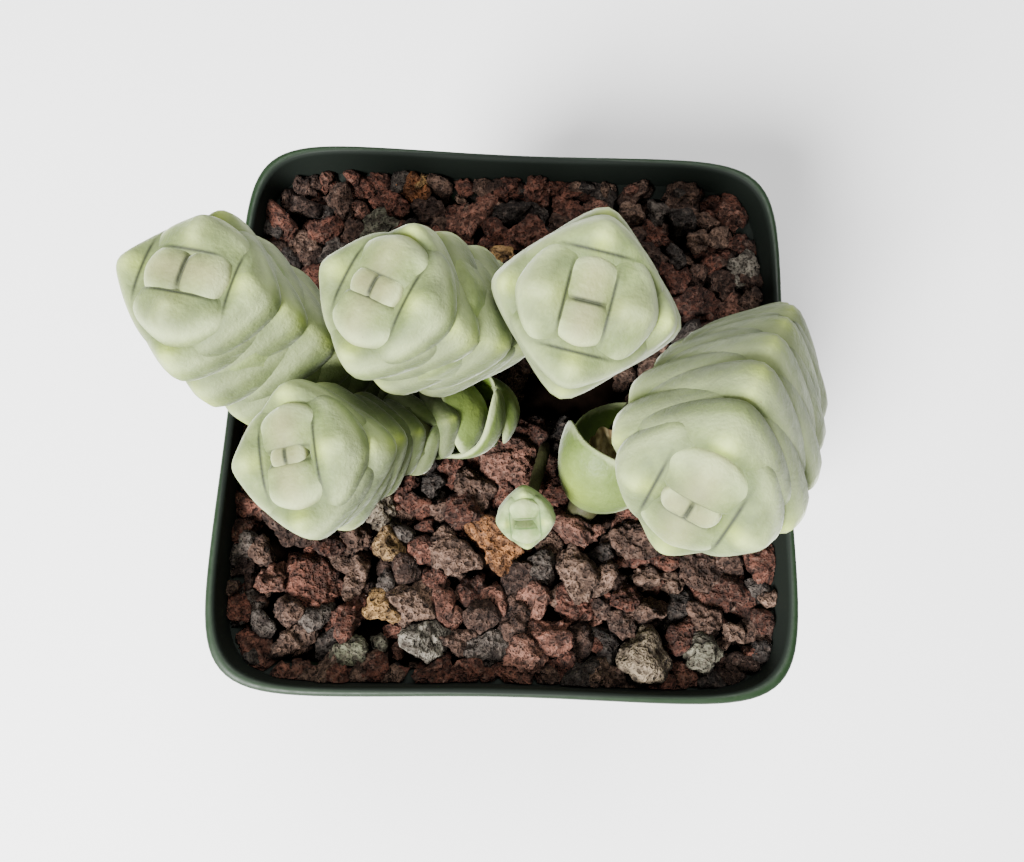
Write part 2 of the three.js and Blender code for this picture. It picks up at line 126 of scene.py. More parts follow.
class Finish:
    """A material under construction: short calls for the nodes that the finishes share."""

    def __init__(self, name, roughness=0.5, specular=0.5):
        self.material = bpy.data.materials.new(name)
        self.material.use_nodes = True
        self.tree = self.material.node_tree
        self.shader = self.tree.nodes["Principled BSDF"]
        self.settings({"Roughness": roughness, "Specular IOR Level": specular})
        self.place = self.add("ShaderNodeTexCoord").outputs["Object"]

    def add(self, kind, inputs=(), **settings):
        """A new node, with its settings made and its inputs fed."""
        node = self.tree.nodes.new(kind)
        for key, value in settings.items():
            setattr(node, key, value)
        for key, value in dict(inputs).items():
            self.join(value, node.inputs[key])
        return node

    def join(self, source, target):
        """Feeds a socket from another node's output, or sets it to a number or a colour."""
        if isinstance(source, tuple):
            target.default_value = (*source, 1)
        elif isinstance(source, (int, float)):
            target.default_value = source
        else:
            self.tree.links.new(source, target)

    def noise(self, scale, detail=3, distortion=0.0):
        inputs = {"Scale": scale, "Detail": detail, "Distortion": distortion, "Vector": self.place}
        return self.add("ShaderNodeTexNoise", inputs).outputs["Fac"]

    def cells(self, scale, place=None):
        inputs = {"Scale": scale, "Vector": place or self.place}
        return self.add("ShaderNodeTexVoronoi", inputs).outputs["Distance"]

    def warped_place(self, scale, amount):
        """Object coordinates shaken by noise, so that a pattern of cells isn't regular."""
        noise = self.add("ShaderNodeTexNoise", {"Scale": scale, "Vector": self.place})
        shift = self.add("ShaderNodeVectorMath", operation="MULTIPLY_ADD")
        self.join(noise.outputs["Color"], shift.inputs[0])
        shift.inputs[1].default_value = (amount,) * 3
        self.join(self.place, shift.inputs[2])
        return shift.outputs["Vector"]

    def spread(self, value, low, high, to_low=0.0, to_high=1.0):
        inputs = {"Value": value, "From Min": low, "From Max": high, "To Min": to_low, "To Max": to_high}
        return self.add("ShaderNodeMapRange", inputs).outputs["Result"]

    def maths(self, operation, *values):
        return self.add("ShaderNodeMath", enumerate(values), operation=operation).outputs["Value"]

    def mix(self, factor, a, b, blend="MIX"):
        node = self.add("ShaderNodeMix", {0: factor, 6: a, 7: b}, data_type="RGBA", blend_type=blend)
        return node.outputs[2]

    def attribute(self, name):
        return self.add("ShaderNodeAttribute", attribute_name=name)

    def traits(self, name):
        """The red, green and blue of a colour attribute, each a trait of its own."""
        split = self.add("ShaderNodeSeparateColor", {"Color": self.attribute(name).outputs["Color"]})
        return split.outputs["Red"], split.outputs["Green"], split.outputs["Blue"]

    def colour(self, value):
        self.join(value, self.shader.inputs["Base Color"])

    def rough(self, value):
        self.join(value, self.shader.inputs["Roughness"])

    def bump(self, height, distance, strength=1.0, below=None):
        node = self.add("ShaderNodeBump", {"Distance": distance, "Strength": strength, "Height": height})
        if below:
            self.join(below, node.inputs["Normal"])
        return node.outputs["Normal"]

    def relief(self, normal):
        self.join(normal, self.shader.inputs["Normal"])

    def settings(self, values):
        for name, value in values.items():
            self.shader.inputs[name].default_value = value


# Colours of the leaves and stems, with painted highlights, painted shade and painted crease shadows
POWDER = (0.195, 0.245, 0.082)
POWDER_GREY = (0.100, 0.130, 0.043)
YOUNG_POWDER = (0.30, 0.39, 0.15)
YOUNG_GREEN = (0.15, 0.23, 0.07)
YOUNG_CREASE_SHADOW = (0.05, 0.10, 0.02)
SHADED_GREEN = (0.042, 0.054, 0.022)
FRESH_GREEN = (0.085, 0.145, 0.016)
SPOT_GREEN = (0.42, 0.52, 0.07)
MARGIN_HIGHLIGHT = (0.52, 0.59, 0.31)
BLUSH = (0.36, 0.29, 0.15)
CREASE_SHADOW_GREEN = (0.014, 0.018, 0.007)
INNER_GREEN = (0.06, 0.105, 0.002)
BARK_BROWN = (0.030, 0.024, 0.010)
BARK_GREEN = (0.030, 0.036, 0.009)
FRECKLE_BROWN = (0.13, 0.12, 0.06)
SHEEN_TINT = (0.95, 1, 0.86, 1)

# Colours of the stones, the mix, the pot, the withered leaf and the floor, with painted shade and a painted
# highlight
STONE_DUST = (0.17, 0.12, 0.095)
PORE_SHADE = (0.008, 0.004, 0.003)
GRAVEL_SHADOW = ((0.0008, 0.0006, 0.0004), (0.006, 0.0035, 0.0025))
PEAT = ((0.012, 0.008, 0.005), (0.06, 0.036, 0.02))
PEAT_FIBRE = (0.2, 0.14, 0.08)
POT_GREEN = ((0.0022, 0.008, 0.0026), (0.0045, 0.0135, 0.0045))
POT_LIP_HIGHLIGHT = (0.009, 0.024, 0.007)
POT_DUST = (0.04, 0.055, 0.03)
POT_INSIDE_SHADE = (0.0015, 0.0045, 0.002)
WITHERED = ((0.30, 0.21, 0.10), (0.46, 0.36, 0.20))
WITHERED_STAIN = (0.16, 0.10, 0.045)
FLOOR_WHITE = ((0.93, 0.93, 0.93), (0.95, 0.95, 0.95))


def crease_shadow_line(finish):
    """Painted shadow along the line where a leaf meets the younger pair: thin, and faded at both ends."""
    place = finish.add("ShaderNodeSeparateXYZ", {"Vector": finish.attribute("from_crease").outputs["Vector"]})
    out, along, half_length = place.outputs
    off_line = finish.maths("ABSOLUTE", finish.maths("SUBTRACT", out, 0.1))
    share_along = finish.maths("DIVIDE", finish.maths("ABSOLUTE", along), half_length)
    line = finish.spread(off_line, 0.05, 0.34, 0.95, 0)
    return finish.maths("MULTIPLY", line, finish.spread(share_along, 0.5, 0.98, 1, 0))


def powdered_leaf(name, powder, grey, green, crease):
    """Velvety leaf skin, from three attributes of its mesh.

    skin: red is a painted highlight on the margin and crest, green a bare green face, blue the youngest
    leaves' blush.
    marks: red is the spot below a younger pair, green is bare stem, blue is painted shade.
    from_crease: millimetres out from the crease at the younger pair, along it, and its half length;
    it places the painted shadow along the crease.
    """
    finish = Finish(name, specular=0.3)
    margin, bare, blush = finish.traits("skin")
    spot, bark, shade = finish.traits("marks_and_shade")
    cloud = finish.spread(finish.noise(330, 6), 0.34, 0.66)
    patchy = finish.spread(finish.noise(120, 3, 0.6), 0.46, 0.72, 0, 0.55)
    speckle = finish.spread(finish.noise(2600, 2), 0.30, 0.62)
    mealy = finish.spread(finish.noise(1700, 5), 0.36, 0.64, 0, 0.7)
    body = finish.mix(cloud, powder, grey)
    # The spot, mottling and blush are the leaf's own colours; the margin trait is a painted highlight on the
    # margin and the crest
    for trait, strength, colour in (
        (mealy, 0.55, grey), (patchy, speckle, green), (spot, 0.6, SPOT_GREEN),
        (blush, 0.3, BLUSH), (margin, 0.5, MARGIN_HIGHLIGHT),
    ):
        body = finish.mix(finish.maths("MULTIPLY", trait, strength), body, colour)
    # Painted shade: darker by the crease, on the flanks, beneath and beside the crest
    body = finish.mix(shade, body, SHADED_GREEN)
    body = finish.mix(bare, body, finish.mix(finish.noise(420, 3), INNER_GREEN, green))
    # Painted shadow along the crease at the younger pair
    body = finish.mix(crease_shadow_line(finish), body, crease)
    body = finish.mix(bark, body, finish.mix(finish.noise(900, 3), BARK_BROWN, BARK_GREEN))
    freckles = finish.spread(finish.cells(240), 0.012, 0.03, 0.8, 0)
    finish.colour(finish.mix(freckles, body, FRECKLE_BROWN))
    finish.rough(finish.spread(bare, 0, 1, 0.66, 0.38))
    finish.join(finish.spread(bark, 0, 1, 0.3, 0), finish.shader.inputs["Sheen Weight"])
    finish.settings({
        "Sheen Roughness": 0.35, "Sheen Tint": SHEEN_TINT,
        "Subsurface Weight": 0.04, "Subsurface Radius": (1, 0.9, 0.4), "Subsurface Scale": 0.0008,
    })
    grain = finish.bump(finish.noise(2600, 4), 0.00012, 0.6)
    finish.relief(finish.bump(finish.noise(300, 5), 0.0009, 0.5, grain))
    return finish.material


def lava(name, tones):
    """Porous stone, with painted shade in its pores. Attribute tone gives each stone its own place along the
    row of colours.
    """
    finish = Finish(name, roughness=0.95, specular=0.2)
    ramp = finish.add("ShaderNodeValToRGB")
    while len(ramp.color_ramp.elements) < len(tones):
        ramp.color_ramp.elements.new(0.5)
    for index, (element, tone) in enumerate(zip(ramp.color_ramp.elements, tones)):
        element.position = index / (len(tones) - 1)
        element.color = (*tone, 1)
    finish.join(finish.attribute("tone").outputs["Fac"], ramp.inputs["Fac"])
    shaken = finish.warped_place(900, 0.0011)
    big_pores = finish.spread(finish.cells(900, shaken), 0.10, 0.46)
    small_pores = finish.spread(finish.cells(2100, shaken), 0.10, 0.5)
    crust = finish.spread(finish.noise(750, 7), 0.36, 0.64)
    mottle = finish.spread(finish.noise(330, 5), 0.3, 0.7, 0.45, 1.5)
    body = finish.mix(1.0, ramp.outputs["Color"], mottle, "MULTIPLY")
    dust = finish.spread(finish.noise(1300, 6), 0.5, 0.72, 0, 0.4)
    body = finish.mix(dust, body, STONE_DUST)
    # Painted shade: darker in the pores and the low parts of the crust
    hollow = finish.maths("MULTIPLY", finish.maths("MULTIPLY", big_pores, small_pores), crust)
    finish.colour(finish.mix(finish.spread(hollow, 0, 0.6, 0.75, 0), body, PORE_SHADE))
    fine = finish.bump(small_pores, 0.0003, 0.9)
    rough = finish.bump(crust, 0.0006, 0.9, fine)
    finish.relief(finish.bump(big_pores, 0.0006, 0.9, rough))
    return finish.material


def gravel_shadow():
    finish = Finish("gravel_shadow", roughness=1.0, specular=0)
    # Near-black: a painted shadow in the gaps between the stones
    finish.colour(finish.mix(finish.noise(600, 4), *GRAVEL_SHADOW))
    return finish.material


def within_rim(finish, place):
    """1 on the inner wall of the rim band and its ledge, 0 on the pot's outside."""
    across = [finish.maths("ABSOLUTE", place.outputs[axis]) for axis in "XY"]
    powers = [finish.maths("POWER", distance, CORNER_SQUARENESS) for distance in across]
    from_middle = finish.maths("POWER", finish.maths("ADD", *powers), 1 / CORNER_SQUARENESS)
    wall = RIM_INNER_HALF_WIDTH
    inner = finish.spread(from_middle, (wall + 0.2) * MM, (wall + 0.7) * MM, 1, 0)
    above_shoulder = finish.spread(place.outputs["Z"], (BAND_BOTTOM + 0.1) * MM, (BAND_BOTTOM + 0.6) * MM)
    return finish.maths("MULTIPLY", inner, above_shoulder)


def pot_plastic():
    finish = Finish("green_pot_plastic", specular=0.28)
    place = finish.add("ShaderNodeSeparateXYZ", {"Vector": finish.place})
    # Painted shade on the inner wall of the rim band and its ledge
    inside = within_rim(finish, place)
    # Painted highlight: the top of the lip lighter green, for light shining through the thin plastic
    lip = finish.spread(place.outputs["Z"], (POT_HEIGHT - 1.2) * MM, (POT_HEIGHT - 0.2) * MM, 0, 0.6)
    dusty = finish.spread(finish.noise(900, 5), 0.58, 0.76, 0, 0.2)
    body = finish.mix(finish.spread(finish.noise(60, 4), 0.35, 0.7), *POT_GREEN)
    body = finish.mix(lip, body, POT_LIP_HIGHLIGHT)
    body = finish.mix(dusty, body, POT_DUST)
    finish.colour(finish.mix(inside, body, POT_INSIDE_SHADE))
    rough = finish.spread(finish.noise(500, 4), 0.3, 0.7, 0.42, 0.6)
    finish.rough(finish.maths("MAXIMUM", rough, finish.maths("MULTIPLY", inside, 0.8)))
    finish.relief(finish.bump(finish.noise(1600, 3), 0.00004, 0.4))
    return finish.material


def peat():
    finish = Finish("peat_mix", roughness=0.95)
    crumbs = finish.cells(480, finish.warped_place(300, 0.002))
    body = finish.mix(finish.spread(crumbs, 0.1, 0.6), *PEAT)
    finish.colour(finish.mix(finish.spread(finish.noise(700, 4), 0.62, 0.7), body, PEAT_FIBRE))
    finish.relief(finish.bump(crumbs, 0.0012, 0.9))
    return finish.material


def dry_leaf():
    finish = Finish("dried_leaf", roughness=0.8)
    inputs = {"Scale": 320, "Distortion": 6, "Vector": finish.place}
    veins = finish.add("ShaderNodeTexWave", inputs).outputs["Fac"]
    body = finish.mix(veins, *WITHERED)
    finish.colour(finish.mix(finish.spread(finish.noise(600, 4), 0.5, 0.75), body, WITHERED_STAIN))
    finish.relief(finish.bump(veins, 0.0003, 0.7))
    return finish.material


def pale_floor():
    finish = Finish("studio_floor", roughness=0.9, specular=0)
    finish.colour(finish.mix(finish.noise(3, 2), *FLOOR_WHITE))
    return finish.material


# The pot

POT_HEIGHT = 84
RIM_HALF_WIDTH = 44.5
RIM_BAND_HEIGHT = 9
RIM_BAND_STEP = 2.2
LIP_THICKNESS = 1.5
WALL = 1.3
FLOOR_THICKNESS = 1.6
BASE_HALF_WIDTH = 31
SIDE_BOW = 0.65
CORNER_SQUARENESS = 8.4
CORNER_CROWDING = 0.12
DRAIN_RADIUS = 3.5
DRAIN_PLACE = 20
DRAIN_SIDES = 40
DRAIN_CUTTER_DEPTH = 5
SHARP_FROM = 38
POT_SIDES = 160

BAND_BOTTOM = POT_HEIGHT - RIM_BAND_HEIGHT
BAND_LEDGE = BAND_BOTTOM + WALL
LEDGE_RISE = 1
BASE_EASING = 1
SHOULDER_HALF_WIDTH = RIM_HALF_WIDTH - RIM_BAND_STEP
RIM_INNER_HALF_WIDTH = RIM_HALF_WIDTH - LIP_THICKNESS
LIP_STEPS = 8


def square_radius(angle, half_width, bow):
    """A square section with round corners and sides that bow in a little."""
    c, s = abs(math.cos(angle)), abs(math.sin(angle))
    square = half_width / (c ** CORNER_SQUARENESS + s ** CORNER_SQUARENESS) ** (1 / CORNER_SQUARENESS)
    return square - bow * math.cos(2 * angle) ** 2


def inner_half_width(height):
    """Half the room between the tapered walls at a height."""
    rise = (height - FLOOR_THICKNESS) / (BAND_BOTTOM - FLOOR_THICKNESS)
    return BASE_HALF_WIDTH - WALL + (SHOULDER_HALF_WIDTH - BASE_HALF_WIDTH) * rise


def squared_lathe(profile, sides):
    """Spins a profile of half widths and heights, then draws each turn out to the square."""
    bm = bmesh.new()
    line = [bm.verts.new((half_width, 0, height)) for half_width, height in profile]
    edges = [bm.edges.new(pair) for pair in zip(line, line[1:])]
    bmesh.ops.spin(
        bm, geom=line + edges, cent=(0, 0, 0), axis=(0, 0, 1), angle=2 * math.pi, steps=sides, use_merge=True
    )
    bmesh.ops.remove_doubles(bm, verts=bm.verts, dist=1e-4)
    for v in bm.verts:
        reach = math.hypot(v.co.x, v.co.y)
        if reach > 1e-4:
            turn = math.atan2(v.co.y, v.co.x)
            angle = turn + CORNER_CROWDING * math.sin(4 * turn)
            bow = SIDE_BOW * min(1, reach / RIM_HALF_WIDTH) ** 4
            radius = square_radius(angle, reach, bow)
            v.co.x, v.co.y = radius * math.cos(angle), radius * math.sin(angle)
    bmesh.ops.recalc_face_normals(bm, faces=bm.faces)
    return bm


def pot_profile():
    """Half widths and heights, from the middle of the underside over the lip to the middle of the floor."""
    lip = LIP_THICKNESS / 2
    middle = RIM_HALF_WIDTH - lip
    arc = [
        (middle + lip * math.cos(turn), POT_HEIGHT - lip + lip * math.sin(turn))
        for turn in (math.pi * i / LIP_STEPS for i in range(LIP_STEPS + 1))
    ]
    return [
        (0, 0),
        (BASE_HALF_WIDTH - BASE_EASING, 0),
        (BASE_HALF_WIDTH - 0.3 * BASE_EASING, 0.3 * BASE_EASING),
        (BASE_HALF_WIDTH, BASE_EASING),
        (SHOULDER_HALF_WIDTH - 0.1, BAND_BOTTOM - 0.4),
        (SHOULDER_HALF_WIDTH + 0.2, BAND_BOTTOM),
        (RIM_HALF_WIDTH - 1, BAND_BOTTOM + 0.3),
        (RIM_HALF_WIDTH - 0.6, BAND_BOTTOM + 0.7),
        (RIM_HALF_WIDTH - 0.3, POT_HEIGHT - 2.4),
        *arc,
        (RIM_INNER_HALF_WIDTH, BAND_LEDGE + LEDGE_RISE),
        (inner_half_width(BAND_BOTTOM), BAND_LEDGE),
        (inner_half_width(FLOOR_THICKNESS), FLOOR_THICKNESS + BASE_EASING),
        (inner_half_width(FLOOR_THICKNESS) - BASE_EASING, FLOOR_THICKNESS),
        (0, FLOOR_THICKNESS),
    ]


def make_pot(material):
    bm = squared_lathe(pot_profile(), POT_SIDES)
    pot = make_object("square_pot", bm, material)
    cutter_bm = bmesh.new()
    for x, y in ((1, 0), (-1, 0), (0, 1), (0, -1), (1, 1), (1, -1), (-1, 1), (-1, -1)):
        hole = bmesh.ops.create_cone(
            cutter_bm, cap_ends=True, segments=DRAIN_SIDES,
            radius1=DRAIN_RADIUS, radius2=DRAIN_RADIUS, depth=DRAIN_CUTTER_DEPTH,
        )
        bmesh.ops.translate(cutter_bm, verts=hole["verts"], vec=(x * DRAIN_PLACE, y * DRAIN_PLACE, 0.4))
    cutter = make_object("drain_cutter", cutter_bm)
    holes = pot.modifiers.new("drains", "BOOLEAN")
    holes.operation = "DIFFERENCE"
    holes.solver = "EXACT"
    holes.object = cutter
    cut = bpy.data.meshes.new_from_object(pot.evaluated_get(bpy.context.evaluated_depsgraph_get()))
    pot.modifiers.clear()
    pot.data = cut
    bpy.data.objects.remove(cutter)
    cut.shade_smooth()
    cut.set_sharp_from_angle(angle=math.radians(SHARP_FROM))
    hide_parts("pot")
    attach(pot, "root")


# The plant. A leaf's age counts the pairs from its stem's tip

LEAF_REACH = 11.6
REACH_PACE = 1.61
CHORD_SHARE = 0.95
CHORD_PACE = 2.65
CHORD_POWER = 1.4
NODE_SPACING = 3.5
SPACING_START = 3.3
SPACING_PACE = 0.7
LEAF_HEIGHT = 9.4
YOUNGEST_HEIGHT = 4.2
HEIGHT_PACE = 1.9
MATURING_PACE = 2.2
ROOTING_PACE = 2.6
ROOTING_POWER = 2.5
STOUTNESS_PACE = 3
STEM_RADIUS = 2.2
STEM_FOOT_HEIGHT = 60

# The form of a young and of a grown leaf: squareness, bow of its outer and inner sides, depth in the stem,
# reach inward at the underside, place of the ridge, and how far the foot tucks under and the sides fall
YOUNG_LEAF = {
    "plan_power": 4.2, "outer_bow": 0.35, "inner_bow": 0, "root_depth": 0,
    "underhang": 2.5, "ridge": 0.35, "tuck_under": 0.4, "side_fall": 0.2,
}
GROWN_LEAF = {
    "plan_power": 2.6, "outer_bow": 0.97, "inner_bow": 0.72, "root_depth": 3.5,
    "underhang": 7, "ridge": 0.45, "tuck_under": 1.8, "side_fall": 1.5,
}
SIDE_POWER = 2.5
CREASE_POWER = 6
SIDE_FALL_POWER = 1.6
KEEL_SHARE = 0.13
KEEL_LEAST = 0.25
WIDTH_SHARE = 0.86
WIDTH_OVERLAP = 0.9
CREST_RISE = 0.8
CREST_SHARE = 0.3
BLADE_OUTLINE_POWER = 2.6
BLADE_EDGE_POWER = 3


def lerp(a, b, t):
    return a + (b - a) * t


def smoothstep(value, low, high):
    t = min(1, max(0, (value - low) / (high - low)))
    return t * t * (3 - 2 * t)


def bell(distance, spread):
    """1 at no distance, falling away on both sides."""
    return math.exp(-((distance / spread) ** 2))


def growth(age, pace, power=2):
    """0 at the start and 1 in the end."""
    return 1 - math.exp(-((max(age, 0) / pace) ** power))


def stoutness(age, girth):
    """How stout a stem's grown leaves are beside the usual ones."""
    return 1 + (girth - 1) * growth(age, STOUTNESS_PACE)


def leaf_reach(age, girth):
    return stoutness(age, girth) * LEAF_REACH * (1 - math.exp(-max(age, 0.15) / REACH_PACE))


def leaf_height(age):
    return LEAF_HEIGHT - (LEAF_HEIGHT - YOUNGEST_HEIGHT) * math.exp(-(age - 1) / HEIGHT_PACE)


def leaf_chord(age, girth):
    """Where the two leaves of a pair meet the next younger pair."""
    return stoutness(age, girth) * CHORD_SHARE * LEAF_REACH * growth(age - 1, CHORD_PACE, CHORD_POWER)


def pair_depth(age):
    return NODE_SPACING * SPACING_PACE * math.log(1 + math.exp((age - SPACING_START) / SPACING_PACE))


class StemLine:
    """A stem's curve from its tip down to its foot, with frames carried along without twist."""

    SAMPLES = 160

    def __init__(self, route):
        points = [Vector(p) for p in route]
        points = [2 * points[0] - points[1], *points, 2 * points[-1] - points[-2]]
        spans = len(route) - 1
        self.places = [self.curve_point(points, spans * i / self.SAMPLES) for i in range(self.SAMPLES + 1)]
        self.ways = [0]
        for before, after in zip(self.places, self.places[1:]):
            self.ways.append(self.ways[-1] + (after - before).length)
        self.length = self.ways[-1]
        self.ups, self.sides = [], []
        side = Vector((0, 1, 0))
        for i in range(self.SAMPLES + 1):
            up = (self.places[max(i - 1, 0)] - self.places[min(i + 1, self.SAMPLES)]).normalized()
            side = (side - up * side.dot(up)).normalized()
            self.ups.append(up)
            self.sides.append(side)

    @staticmethod
    def curve_point(points, t):
        i = min(int(t), len(points) - 4)
        f = t - i
        before, start, end, after = points[i:i + 4]
        leave, arrive = (end - before) / 2, (after - start) / 2
        return (
            (2 * start - 2 * end + leave + arrive) * f ** 3
            + (3 * end - 3 * start - 2 * leave - arrive) * f ** 2
            + leave * f
            + start
        )

    def frame_at(self, way):
        """The stem's place, upward and sideways directions at a way down from its tip."""
        i = max(1, next((k for k, w in enumerate(self.ways) if w >= way), self.SAMPLES))
        f = (way - self.ways[i - 1]) / (self.ways[i] - self.ways[i - 1])
        return (
            self.places[i - 1].lerp(self.places[i], f),
            self.ups[i - 1].lerp(self.ups[i], f).normalized(),
            self.sides[i - 1].lerp(self.sides[i], f).normalized(),
        )

    def placer(self, way, phase, size):
        """A function that sets a leaf's own point, x outward and z towards the tip, on the stem."""
        place, up, side = self.frame_at(way)
        angle = math.radians(phase)
        out = side * math.cos(angle) + up.cross(side) * math.sin(angle)
        across = up.cross(out)
        return lambda p: place + (out * p[0] + across * p[1] + up * p[2]) * size


def rounded_block(q, plan_power, side_power, across, along, through):
    """Draws a point of a cube in to a block with round edges: low powers are rounder."""
    plan = (abs(q[across]) ** plan_power + abs(q[along]) ** plan_power) ** (side_power / plan_power)
    return q / (plan + abs(q[through]) ** side_power) ** (1 / side_power)


# Leaves up to this age have a crease; the others hold a place far from any
CREASED_BELOW = 3.2
NO_CREASE = (9, 9, 1)

CREASE_SHARES = (0.95, 0.6)
CREASE_AGES = (2, 3.2)
CREST_AGES = (1.2, 2.2)
CREASE_SHADE = 0.45
FLANK_SHADE = 0.7
UNDER_SHADE = 0.75
CREST_SHADE = 0.34
CREST_HIGHLIGHT_STRENGTH = 0.5
MARGIN_HIGHLIGHT_STRENGTH = 0.8
SPOT_AGES = (1.6, 2.6)
SPOT_OUT = 1.3
SPOT_SPREAD = 1.5
SPOT_HALF_WIDTH = 1.1
BLUSH_AGES = (1.2, 2.4)
BLUSH_HALF_WIDTH = 2.2


class LeafForm:
    """A plump shield-shaped leaf of one age: x outward, y across, z towards the stem's tip."""

    def __init__(self, age, girth):
        old = growth(age - 1, MATURING_PACE)
        self.age = age
        self.shape = {trait: lerp(young, GROWN_LEAF[trait], old) for trait, young in YOUNG_LEAF.items()}
        self.shape["root_depth"] = GROWN_LEAF["root_depth"] * growth(age - 1, ROOTING_PACE, ROOTING_POWER)
        self.reach = leaf_reach(age, girth)
        self.chord = leaf_chord(age, girth)
        self.height = leaf_height(age)
        self.half_width = min(leaf_chord(age + 1, girth) + WIDTH_OVERLAP, WIDTH_SHARE * self.reach)
        self.keel = KEEL_SHARE * self.reach + KEEL_LEAST
        self.crested = smoothstep(age, *CREST_AGES)
        self.crease_half_length = 0.8 * self.half_width
        if age > 1.5:
            share = lerp(*CREASE_SHARES, smoothstep(age, *CREASE_AGES))
            self.crease_half_length = leaf_reach(age - 1, girth) * share

    def point(self, q):
        shape = self.shape
        inner_middle = smoothstep(-q.x, 0.1, 0.9) * (1 - smoothstep(abs(q.y), 0.2, 0.9))
        side_power = lerp(SIDE_POWER, CREASE_POWER, inner_middle)
        p = rounded_block(q, shape["plan_power"], side_power, 0, 1, 2)
        y = self.half_width * p.y
        bow = math.hypot(y, self.keel) - self.keel
        from_top = (1 - p.z) / 2
        outer = self.reach - shape["outer_bow"] * bow
        inner = self.chord - shape["inner_bow"] * bow - shape["root_depth"] - shape["underhang"] * from_top
        middle = lerp(inner, outer, shape["ridge"])
        low = max(0, 2 * from_top - 1)
        x = middle + (outer - middle if p.x > 0 else middle - inner) * p.x - shape["tuck_under"] * low * low
        fall = shape["side_fall"] * abs(p.y) ** SIDE_FALL_POWER
        crest = CREST_RISE * self.crested * bell(p.y, CREST_SHARE) * smoothstep(p.z, 0, 0.8)
        crest *= smoothstep(x, self.chord + 0.1, self.chord + 2) * (1 - smoothstep(p.x, 0.7, 1))
        return Vector((x, y, -self.height * from_top - fall + crest)), p

    def traits(self, point, p):
        """The traits skin, marks and from_crease of a point of the leaf, with its painted highlights and
        painted shade.
        """
        out = point.x - self.chord
        # Painted highlights on the upper margin and along the crest; painted shade by the crease, on the
        # flanks, beneath and beside the crest
        edge_highlight = bell(p.z - 0.6, 0.26) * smoothstep(p.x, 0.05, 0.6)
        blush = (1 - smoothstep(self.age, *BLUSH_AGES)) * bell(point.y, BLUSH_HALF_WIDTH)
        spot = bell(point.y, SPOT_HALF_WIDTH) * bell(out - SPOT_OUT, SPOT_SPREAD)
        spot *= smoothstep(self.age, *SPOT_AGES)
        inward = CREASE_SHADE * math.exp(-max(0, out) / 1.6)
        flank = FLANK_SHADE * smoothstep(abs(p.y), 0.75, 1) * (1 - smoothstep(p.z, 0.2, 0.95))
        beneath = UNDER_SHADE * (1 - smoothstep(p.z, -0.5, 0.4))
        open_face = smoothstep(out, 0.3, 2) * (1 - smoothstep(p.x, 0.7, 1)) * smoothstep(p.z, 0, 0.8)
        beside_crest = CREST_SHADE * open_face * self.crested * bell(abs(p.y) - 0.42, 0.2)
        crest_highlight = CREST_HIGHLIGHT_STRENGTH * open_face * self.crested * bell(p.y, 0.14)
        shade = max(inward, flank, beneath, beside_crest)
        creased = self.age < CREASED_BELOW and p.x < 0.35
        from_crease = (out, point.y, self.crease_half_length) if creased else NO_CREASE
        return (max(MARGIN_HIGHLIGHT_STRENGTH * edge_highlight, crest_highlight), 0, blush), (spot, 0, shade), from_crease


def open_leaf_point(q, leaf):
    """An open, cupped leaf: an arched round blade, joined to the stem at its foot."""
    p = rounded_block(q, BLADE_OUTLINE_POWER, BLADE_EDGE_POWER, 1, 2, 0)
    start = math.radians(leaf["from"])
    curl = leaf["length"] / math.radians(leaf["to"] - leaf["from"])
    length = leaf["length"] * (1 - leaf["dip"] * (1 - p.y * p.y))
    turn = start + length * (p.z + 1) / 2 / curl
    y = leaf["width"] / 2 * p.y
    proud = leaf["thickness"] / 2 * p.x - y * y / (2 * leaf["cup"])
    return Vector((
        leaf["foot"] + curl * (math.cos(turn) - math.cos(start)) + proud * math.cos(turn),
        y,
        curl * (math.sin(turn) - math.sin(start)) + proud * math.sin(turn),
    )), p


def open_leaf_traits(p):
    """An open leaf has a painted highlight at its margin, is green inside, yellow-green in the middle and
    brown at its foot.
    """
    margin = smoothstep(math.hypot(p.y, p.z), 0.93, 1.0)
    inside = smoothstep(-p.x, -0.15, 0.25) * (1 - margin)
    fresh = max(inside, 0.5 * (1 - margin))
    glow = 0.9 * bell(p.y, 0.4) * bell(p.z, 0.45) * (1 - inside)
    foot = 1 - smoothstep(p.z, -0.97, -0.8)
    return (MARGIN_HIGHLIGHT_STRENGTH * margin, fresh, 0), (glow, foot, 0), NO_CREASE


